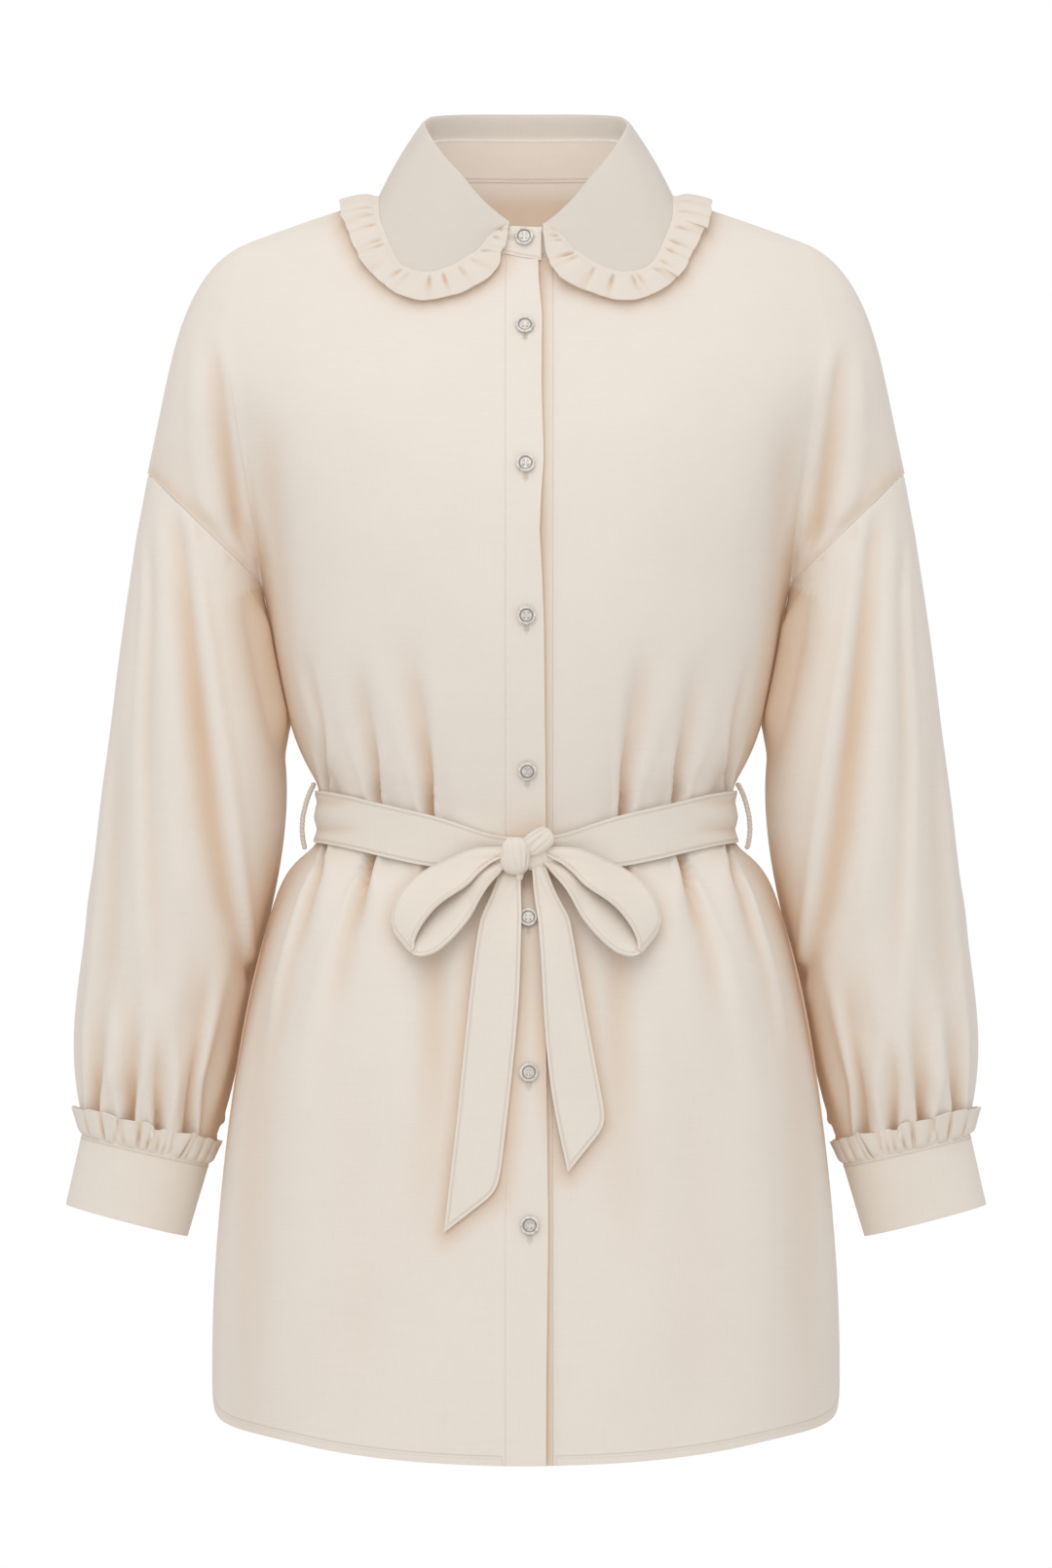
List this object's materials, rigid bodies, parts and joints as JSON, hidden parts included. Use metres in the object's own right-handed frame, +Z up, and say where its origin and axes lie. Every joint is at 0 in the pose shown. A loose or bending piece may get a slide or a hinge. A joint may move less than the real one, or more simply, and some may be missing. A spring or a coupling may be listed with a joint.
{
  "type": "tunic top",
  "caption": "Long-sleeved tunic top with a frilled round collar, button placket, balloon sleeves gathered into cuffs and a bow-tied belt, filled out as it is worn.",
  "frame": {"origin": "middle of the neck opening, level with the inner ends of the shoulder seams, where the wearer's body holds the garment", "axes": "+Z up the wearer's body, -Y to the wearer's front, +X to the wearer's left"},
  "size_m": [0.57, 0.273, 0.8386],
  "materials": {
    "cloth": "matt plain weave",
    "button": "pearly"
  },
  "bodies": {
    "root": {"front_right": "cloth", "front_left": "cloth", "back": "cloth", "placket": "cloth", "button_band": "cloth", "sleeve_right": "cloth", "cuff_right": "cloth", "cuff_frill_right": "cloth", "sleeve_left": "cloth", "cuff_left": "cloth", "cuff_frill_left": "cloth", "collar_stand": "cloth", "collar_fall": "cloth", "collar_frill": "cloth", "button_1": "button", "button_2": "button", "button_3": "button", "button_4": "button", "button_5": "button", "button_6": "button", "button_7": "button", "button_8": "button", "belt_band": "cloth", "belt_knot": "cloth", "bow_loop_right": "cloth", "belt_tail_right": "cloth", "bow_loop_left": "cloth", "belt_tail_left": "cloth", "belt_carrier_right": "cloth", "belt_carrier_left": "cloth"}
  },
  "joints": []
}
